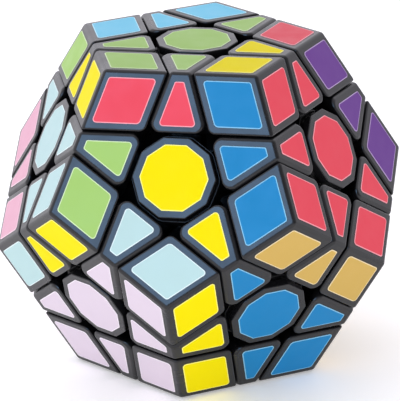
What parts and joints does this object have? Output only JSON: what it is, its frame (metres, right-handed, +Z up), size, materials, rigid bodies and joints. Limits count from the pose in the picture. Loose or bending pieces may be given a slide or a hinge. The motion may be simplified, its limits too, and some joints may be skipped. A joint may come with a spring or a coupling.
{
  "type": "dodecahedron twisty puzzle",
  "caption": "Twelve-sided face-turning puzzle: turning centres on a sprung core hold interlocking edge and corner pieces, with coloured stickers on black plastic.",
  "frame": {"origin": "middle of the underside of the face it stands on", "axes": "+Z up through the top face; -Y towards the front face, whose outward normal leans 26.6 degrees above -Y; X completes a right-handed frame"},
  "size_m": [0.0942, 0.099, 0.0802],
  "materials": {
    "black_plastic": "moulded glossy black ABS",
    "core_plastic": "moulded black nylon",
    "screw_steel": "bright zinc-plated steel",
    "spring_steel": "drawn spring wire"
  },
  "bodies": {
    "core": {"core": "core_plastic", "axle_screws": "screw_steel", "tension_springs": "spring_steel", "centre_d": "black_plastic"},
    "centre_u": {"centre_u": "black_plastic"},
    "centre_f": {"centre_f": "black_plastic"},
    "centre_r": {"centre_r": "black_plastic"},
    "centre_br": {"centre_br": "black_plastic"},
    "centre_bl": {"centre_bl": "black_plastic"},
    "centre_l": {"centre_l": "black_plastic"},
    "centre_dr": {"centre_dr_and_edge_dr_d": "black_plastic"},
    "centre_dbr": {"centre_dbr_and_edge_dbr_d": "black_plastic"},
    "centre_db": {"centre_db_and_edge_db_d": "black_plastic"},
    "centre_dbl": {"centre_dbl_and_edge_dbl_d": "black_plastic"},
    "centre_dl": {"centre_dl_and_edge_dl_d": "black_plastic"},
    "edge_u_f": {"edge_u_f": "black_plastic"},
    "edge_u_r": {"edge_u_r": "black_plastic"},
    "edge_u_br": {"edge_u_br": "black_plastic"},
    "edge_u_bl": {"edge_u_bl": "black_plastic"},
    "edge_u_l": {"edge_u_l": "black_plastic"},
    "edge_f_r": {"edge_f_r": "black_plastic"},
    "edge_f_l": {"edge_f_l": "black_plastic"},
    "edge_f_dr": {"edge_f_dr": "black_plastic"},
    "edge_f_dl": {"edge_f_dl": "black_plastic"},
    "edge_r_br": {"edge_r_br": "black_plastic"},
    "edge_r_dr": {"edge_r_dr": "black_plastic"},
    "edge_r_dbr": {"edge_r_dbr": "black_plastic"},
    "edge_br_bl": {"edge_br_bl": "black_plastic"},
    "edge_br_dbr": {"edge_br_dbr": "black_plastic"},
    "edge_br_db": {"edge_br_db": "black_plastic"},
    "edge_bl_l": {"edge_bl_l": "black_plastic"},
    "edge_bl_db": {"edge_bl_db": "black_plastic"},
    "edge_bl_dbl": {"edge_bl_dbl": "black_plastic"},
    "edge_l_dbl": {"edge_l_dbl": "black_plastic"},
    "edge_l_dl": {"edge_l_dl": "black_plastic"},
    "edge_dr_dbr": {"edge_dr_dbr": "black_plastic", "corner_dr_dbr_d": "black_plastic"},
    "edge_dr_dl": {"edge_dr_dl": "black_plastic", "corner_dr_dl_d": "black_plastic"},
    "edge_dbr_db": {"edge_dbr_db": "black_plastic", "corner_dbr_db_d": "black_plastic"},
    "edge_db_dbl": {"edge_db_dbl": "black_plastic", "corner_db_dbl_d": "black_plastic"},
    "edge_dbl_dl": {"edge_dbl_dl": "black_plastic", "corner_dbl_dl_d": "black_plastic"},
    "corner_u_f_r": {"corner_u_f_r": "black_plastic"},
    "corner_u_f_l": {"corner_u_f_l": "black_plastic"},
    "corner_u_r_br": {"corner_u_r_br": "black_plastic"},
    "corner_u_br_bl": {"corner_u_br_bl": "black_plastic"},
    "corner_u_bl_l": {"corner_u_bl_l": "black_plastic"},
    "corner_f_r_dr": {"corner_f_r_dr": "black_plastic"},
    "corner_f_l_dl": {"corner_f_l_dl": "black_plastic"},
    "corner_f_dr_dl": {"corner_f_dr_dl": "black_plastic"},
    "corner_r_br_dbr": {"corner_r_br_dbr": "black_plastic"},
    "corner_r_dr_dbr": {"corner_r_dr_dbr": "black_plastic"},
    "corner_br_bl_db": {"corner_br_bl_db": "black_plastic"},
    "corner_br_dbr_db": {"corner_br_dbr_db": "black_plastic"},
    "corner_bl_l_dbl": {"corner_bl_l_dbl": "black_plastic"},
    "corner_bl_db_dbl": {"corner_bl_db_dbl": "black_plastic"},
    "corner_l_dbl_dl": {"corner_l_dbl_dl": "black_plastic"}
  },
  "joints": [
    {"name": "turn_u", "type": "hinge", "parent": "core", "child": "centre_u", "pos_m": [0, 0, 0.04009], "axis": [0, 0, 1], "range_deg": [-180, 360]},
    {"name": "turn_f", "type": "hinge", "parent": "core", "child": "centre_f", "pos_m": [0, 0, 0.04009], "axis": [0, -0.8944, 0.4472], "range_deg": [-360, 180]},
    {"name": "turn_r", "type": "hinge", "parent": "core", "child": "centre_r", "pos_m": [0, 0, 0.04009], "axis": [0.8507, -0.2764, 0.4472], "range_deg": [-360, 360]},
    {"name": "turn_br", "type": "hinge", "parent": "core", "child": "centre_br", "pos_m": [0, 0, 0.04009], "axis": [0.5257, 0.7236, 0.4472], "range_deg": [-360, 180]},
    {"name": "turn_bl", "type": "hinge", "parent": "core", "child": "centre_bl", "pos_m": [0, 0, 0.04009], "axis": [-0.5257, 0.7236, 0.4472], "range_deg": [-360, 360]},
    {"name": "turn_l", "type": "hinge", "parent": "core", "child": "centre_l", "pos_m": [0, 0, 0.04009], "axis": [-0.8507, -0.2764, 0.4472], "range_deg": [-360, 360]},
    {"name": "turn_dr", "type": "hinge", "parent": "core", "child": "centre_dr", "pos_m": [0, 0, 0.04009], "axis": [0.5257, -0.7236, -0.4472], "range_deg": [-180, 360]},
    {"name": "turn_dbr", "type": "hinge", "parent": "core", "child": "centre_dbr", "pos_m": [0, 0, 0.04009], "axis": [0.8507, 0.2764, -0.4472], "range_deg": [-360, 360]},
    {"name": "turn_db", "type": "hinge", "parent": "core", "child": "centre_db", "pos_m": [0, 0, 0.04009], "axis": [0, 0.8944, -0.4472], "range_deg": [-180, 360]},
    {"name": "turn_dbl", "type": "hinge", "parent": "core", "child": "centre_dbl", "pos_m": [0, 0, 0.04009], "axis": [-0.8507, 0.2764, -0.4472], "range_deg": [-360, 180]},
    {"name": "turn_dl", "type": "hinge", "parent": "core", "child": "centre_dl", "pos_m": [0, 0, 0.04009], "axis": [-0.5257, -0.7236, -0.4472], "range_deg": [-360, 360]},
    {"name": "edge_u_f_turns_with_f", "type": "hinge", "parent": "centre_u", "child": "edge_u_f", "pos_m": [0, 0, 0.04009], "axis": [0, -0.8944, 0.4472], "range_deg": [-360, 180]},
    {"name": "edge_u_r_turns_with_r", "type": "hinge", "parent": "centre_u", "child": "edge_u_r", "pos_m": [0, 0, 0.04009], "axis": [0.8507, -0.2764, 0.4472], "range_deg": [-360, 360]},
    {"name": "edge_u_br_turns_with_br", "type": "hinge", "parent": "centre_u", "child": "edge_u_br", "pos_m": [0, 0, 0.04009], "axis": [0.5257, 0.7236, 0.4472], "range_deg": [-360, 180]},
    {"name": "edge_u_bl_turns_with_bl", "type": "hinge", "parent": "centre_u", "child": "edge_u_bl", "pos_m": [0, 0, 0.04009], "axis": [-0.5257, 0.7236, 0.4472], "range_deg": [-360, 360]},
    {"name": "edge_u_l_turns_with_l", "type": "hinge", "parent": "centre_u", "child": "edge_u_l", "pos_m": [0, 0, 0.04009], "axis": [-0.8507, -0.2764, 0.4472], "range_deg": [-360, 360]},
    {"name": "edge_f_r_turns_with_r", "type": "hinge", "parent": "centre_f", "child": "edge_f_r", "pos_m": [0, 0, 0.04009], "axis": [0.8507, -0.2764, 0.4472], "range_deg": [-360, 360]},
    {"name": "edge_f_l_turns_with_l", "type": "hinge", "parent": "centre_f", "child": "edge_f_l", "pos_m": [0, 0, 0.04009], "axis": [-0.8507, -0.2764, 0.4472], "range_deg": [-360, 360]},
    {"name": "edge_f_dr_turns_with_dr", "type": "hinge", "parent": "centre_f", "child": "edge_f_dr", "pos_m": [0, 0, 0.04009], "axis": [0.5257, -0.7236, -0.4472], "range_deg": [-180, 360]},
    {"name": "edge_f_dl_turns_with_dl", "type": "hinge", "parent": "centre_f", "child": "edge_f_dl", "pos_m": [0, 0, 0.04009], "axis": [-0.5257, -0.7236, -0.4472], "range_deg": [-360, 360]},
    {"name": "edge_r_br_turns_with_br", "type": "hinge", "parent": "centre_r", "child": "edge_r_br", "pos_m": [0, 0, 0.04009], "axis": [0.5257, 0.7236, 0.4472], "range_deg": [-360, 180]},
    {"name": "edge_r_dr_turns_with_dr", "type": "hinge", "parent": "centre_r", "child": "edge_r_dr", "pos_m": [0, 0, 0.04009], "axis": [0.5257, -0.7236, -0.4472], "range_deg": [-180, 360]},
    {"name": "edge_r_dbr_turns_with_dbr", "type": "hinge", "parent": "centre_r", "child": "edge_r_dbr", "pos_m": [0, 0, 0.04009], "axis": [0.8507, 0.2764, -0.4472], "range_deg": [-360, 360]},
    {"name": "edge_br_bl_turns_with_bl", "type": "hinge", "parent": "centre_br", "child": "edge_br_bl", "pos_m": [0, 0, 0.04009], "axis": [-0.5257, 0.7236, 0.4472], "range_deg": [-360, 360]},
    {"name": "edge_br_dbr_turns_with_dbr", "type": "hinge", "parent": "centre_br", "child": "edge_br_dbr", "pos_m": [0, 0, 0.04009], "axis": [0.8507, 0.2764, -0.4472], "range_deg": [-360, 360]},
    {"name": "edge_br_db_turns_with_db", "type": "hinge", "parent": "centre_br", "child": "edge_br_db", "pos_m": [0, 0, 0.04009], "axis": [0, 0.8944, -0.4472], "range_deg": [-180, 360]},
    {"name": "edge_bl_l_turns_with_l", "type": "hinge", "parent": "centre_bl", "child": "edge_bl_l", "pos_m": [0, 0, 0.04009], "axis": [-0.8507, -0.2764, 0.4472], "range_deg": [-360, 360]},
    {"name": "edge_bl_db_turns_with_db", "type": "hinge", "parent": "centre_bl", "child": "edge_bl_db", "pos_m": [0, 0, 0.04009], "axis": [0, 0.8944, -0.4472], "range_deg": [-180, 360]},
    {"name": "edge_bl_dbl_turns_with_dbl", "type": "hinge", "parent": "centre_bl", "child": "edge_bl_dbl", "pos_m": [0, 0, 0.04009], "axis": [-0.8507, 0.2764, -0.4472], "range_deg": [-360, 180]},
    {"name": "edge_l_dbl_turns_with_dbl", "type": "hinge", "parent": "centre_l", "child": "edge_l_dbl", "pos_m": [0, 0, 0.04009], "axis": [-0.8507, 0.2764, -0.4472], "range_deg": [-360, 180]},
    {"name": "edge_l_dl_turns_with_dl", "type": "hinge", "parent": "centre_l", "child": "edge_l_dl", "pos_m": [0, 0, 0.04009], "axis": [-0.5257, -0.7236, -0.4472], "range_deg": [-360, 360]},
    {"name": "edge_dr_dbr_turns_with_dbr", "type": "hinge", "parent": "centre_dr", "child": "edge_dr_dbr", "pos_m": [0, 0, 0.04009], "axis": [0.8507, 0.2764, -0.4472], "range_deg": [-360, 360]},
    {"name": "edge_dr_dl_turns_with_dl", "type": "hinge", "parent": "centre_dr", "child": "edge_dr_dl", "pos_m": [0, 0, 0.04009], "axis": [-0.5257, -0.7236, -0.4472], "range_deg": [-360, 360]},
    {"name": "edge_dbr_db_turns_with_db", "type": "hinge", "parent": "centre_dbr", "child": "edge_dbr_db", "pos_m": [0, 0, 0.04009], "axis": [0, 0.8944, -0.4472], "range_deg": [-180, 360]},
    {"name": "edge_db_dbl_turns_with_dbl", "type": "hinge", "parent": "centre_db", "child": "edge_db_dbl", "pos_m": [0, 0, 0.04009], "axis": [-0.8507, 0.2764, -0.4472], "range_deg": [-360, 180]},
    {"name": "edge_dbl_dl_turns_with_dl", "type": "hinge", "parent": "centre_dbl", "child": "edge_dbl_dl", "pos_m": [0, 0, 0.04009], "axis": [-0.5257, -0.7236, -0.4472], "range_deg": [-360, 360]},
    {"name": "corner_u_f_r_turns_with_r", "type": "hinge", "parent": "edge_u_f", "child": "corner_u_f_r", "pos_m": [0, 0, 0.04009], "axis": [0.8507, -0.2764, 0.4472], "range_deg": [-360, 360]},
    {"name": "corner_u_f_l_turns_with_l", "type": "hinge", "parent": "edge_u_f", "child": "corner_u_f_l", "pos_m": [0, 0, 0.04009], "axis": [-0.8507, -0.2764, 0.4472], "range_deg": [-360, 360]},
    {"name": "corner_u_r_br_turns_with_br", "type": "hinge", "parent": "edge_u_r", "child": "corner_u_r_br", "pos_m": [0, 0, 0.04009], "axis": [0.5257, 0.7236, 0.4472], "range_deg": [-360, 180]},
    {"name": "corner_u_br_bl_turns_with_bl", "type": "hinge", "parent": "edge_u_br", "child": "corner_u_br_bl", "pos_m": [0, 0, 0.04009], "axis": [-0.5257, 0.7236, 0.4472], "range_deg": [-360, 360]},
    {"name": "corner_u_bl_l_turns_with_l", "type": "hinge", "parent": "edge_u_bl", "child": "corner_u_bl_l", "pos_m": [0, 0, 0.04009], "axis": [-0.8507, -0.2764, 0.4472], "range_deg": [-360, 360]},
    {"name": "corner_f_r_dr_turns_with_dr", "type": "hinge", "parent": "edge_f_r", "child": "corner_f_r_dr", "pos_m": [0, 0, 0.04009], "axis": [0.5257, -0.7236, -0.4472], "range_deg": [-180, 360]},
    {"name": "corner_f_l_dl_turns_with_dl", "type": "hinge", "parent": "edge_f_l", "child": "corner_f_l_dl", "pos_m": [0, 0, 0.04009], "axis": [-0.5257, -0.7236, -0.4472], "range_deg": [-360, 360]},
    {"name": "corner_f_dr_dl_turns_with_dl", "type": "hinge", "parent": "edge_f_dr", "child": "corner_f_dr_dl", "pos_m": [0, 0, 0.04009], "axis": [-0.5257, -0.7236, -0.4472], "range_deg": [-360, 360]},
    {"name": "corner_r_br_dbr_turns_with_dbr", "type": "hinge", "parent": "edge_r_br", "child": "corner_r_br_dbr", "pos_m": [0, 0, 0.04009], "axis": [0.8507, 0.2764, -0.4472], "range_deg": [-360, 360]},
    {"name": "corner_r_dr_dbr_turns_with_dbr", "type": "hinge", "parent": "edge_r_dr", "child": "corner_r_dr_dbr", "pos_m": [0, 0, 0.04009], "axis": [0.8507, 0.2764, -0.4472], "range_deg": [-360, 360]},
    {"name": "corner_br_bl_db_turns_with_db", "type": "hinge", "parent": "edge_br_bl", "child": "corner_br_bl_db", "pos_m": [0, 0, 0.04009], "axis": [0, 0.8944, -0.4472], "range_deg": [-180, 360]},
    {"name": "corner_br_dbr_db_turns_with_db", "type": "hinge", "parent": "edge_br_dbr", "child": "corner_br_dbr_db", "pos_m": [0, 0, 0.04009], "axis": [0, 0.8944, -0.4472], "range_deg": [-180, 360]},
    {"name": "corner_bl_l_dbl_turns_with_dbl", "type": "hinge", "parent": "edge_bl_l", "child": "corner_bl_l_dbl", "pos_m": [0, 0, 0.04009], "axis": [-0.8507, 0.2764, -0.4472], "range_deg": [-360, 180]},
    {"name": "corner_bl_db_dbl_turns_with_dbl", "type": "hinge", "parent": "edge_bl_db", "child": "corner_bl_db_dbl", "pos_m": [0, 0, 0.04009], "axis": [-0.8507, 0.2764, -0.4472], "range_deg": [-360, 180]},
    {"name": "corner_l_dbl_dl_turns_with_dl", "type": "hinge", "parent": "edge_l_dbl", "child": "corner_l_dbl_dl", "pos_m": [0, 0, 0.04009], "axis": [-0.5257, -0.7236, -0.4472], "range_deg": [-360, 360]}
  ],
  "couplings": [
    {"joint": "edge_u_f_turns_with_f", "follows": "turn_f", "ratio": 1},
    {"joint": "edge_u_r_turns_with_r", "follows": "turn_r", "ratio": 1},
    {"joint": "edge_u_br_turns_with_br", "follows": "turn_br", "ratio": 1},
    {"joint": "edge_u_bl_turns_with_bl", "follows": "turn_bl", "ratio": 1},
    {"joint": "edge_u_l_turns_with_l", "follows": "turn_l", "ratio": 1},
    {"joint": "edge_f_r_turns_with_r", "follows": "turn_r", "ratio": 1},
    {"joint": "edge_f_l_turns_with_l", "follows": "turn_l", "ratio": 1},
    {"joint": "edge_f_dr_turns_with_dr", "follows": "turn_dr", "ratio": 1},
    {"joint": "edge_f_dl_turns_with_dl", "follows": "turn_dl", "ratio": 1},
    {"joint": "edge_r_br_turns_with_br", "follows": "turn_br", "ratio": 1},
    {"joint": "edge_r_dr_turns_with_dr", "follows": "turn_dr", "ratio": 1},
    {"joint": "edge_r_dbr_turns_with_dbr", "follows": "turn_dbr", "ratio": 1},
    {"joint": "edge_br_bl_turns_with_bl", "follows": "turn_bl", "ratio": 1},
    {"joint": "edge_br_dbr_turns_with_dbr", "follows": "turn_dbr", "ratio": 1},
    {"joint": "edge_br_db_turns_with_db", "follows": "turn_db", "ratio": 1},
    {"joint": "edge_bl_l_turns_with_l", "follows": "turn_l", "ratio": 1},
    {"joint": "edge_bl_db_turns_with_db", "follows": "turn_db", "ratio": 1},
    {"joint": "edge_bl_dbl_turns_with_dbl", "follows": "turn_dbl", "ratio": 1},
    {"joint": "edge_l_dbl_turns_with_dbl", "follows": "turn_dbl", "ratio": 1},
    {"joint": "edge_l_dl_turns_with_dl", "follows": "turn_dl", "ratio": 1},
    {"joint": "edge_dr_dbr_turns_with_dbr", "follows": "turn_dbr", "ratio": 1},
    {"joint": "edge_dr_dl_turns_with_dl", "follows": "turn_dl", "ratio": 1},
    {"joint": "edge_dbr_db_turns_with_db", "follows": "turn_db", "ratio": 1},
    {"joint": "edge_db_dbl_turns_with_dbl", "follows": "turn_dbl", "ratio": 1},
    {"joint": "edge_dbl_dl_turns_with_dl", "follows": "turn_dl", "ratio": 1},
    {"joint": "corner_u_f_r_turns_with_r", "follows": "turn_r", "ratio": 1},
    {"joint": "corner_u_f_l_turns_with_l", "follows": "turn_l", "ratio": 1},
    {"joint": "corner_u_r_br_turns_with_br", "follows": "turn_br", "ratio": 1},
    {"joint": "corner_u_br_bl_turns_with_bl", "follows": "turn_bl", "ratio": 1},
    {"joint": "corner_u_bl_l_turns_with_l", "follows": "turn_l", "ratio": 1},
    {"joint": "corner_f_r_dr_turns_with_dr", "follows": "turn_dr", "ratio": 1},
    {"joint": "corner_f_l_dl_turns_with_dl", "follows": "turn_dl", "ratio": 1},
    {"joint": "corner_f_dr_dl_turns_with_dl", "follows": "turn_dl", "ratio": 1},
    {"joint": "corner_r_br_dbr_turns_with_dbr", "follows": "turn_dbr", "ratio": 1},
    {"joint": "corner_r_dr_dbr_turns_with_dbr", "follows": "turn_dbr", "ratio": 1},
    {"joint": "corner_br_bl_db_turns_with_db", "follows": "turn_db", "ratio": 1},
    {"joint": "corner_br_dbr_db_turns_with_db", "follows": "turn_db", "ratio": 1},
    {"joint": "corner_bl_l_dbl_turns_with_dbl", "follows": "turn_dbl", "ratio": 1},
    {"joint": "corner_bl_db_dbl_turns_with_dbl", "follows": "turn_dbl", "ratio": 1},
    {"joint": "corner_l_dbl_dl_turns_with_dl", "follows": "turn_dl", "ratio": 1}
  ]
}
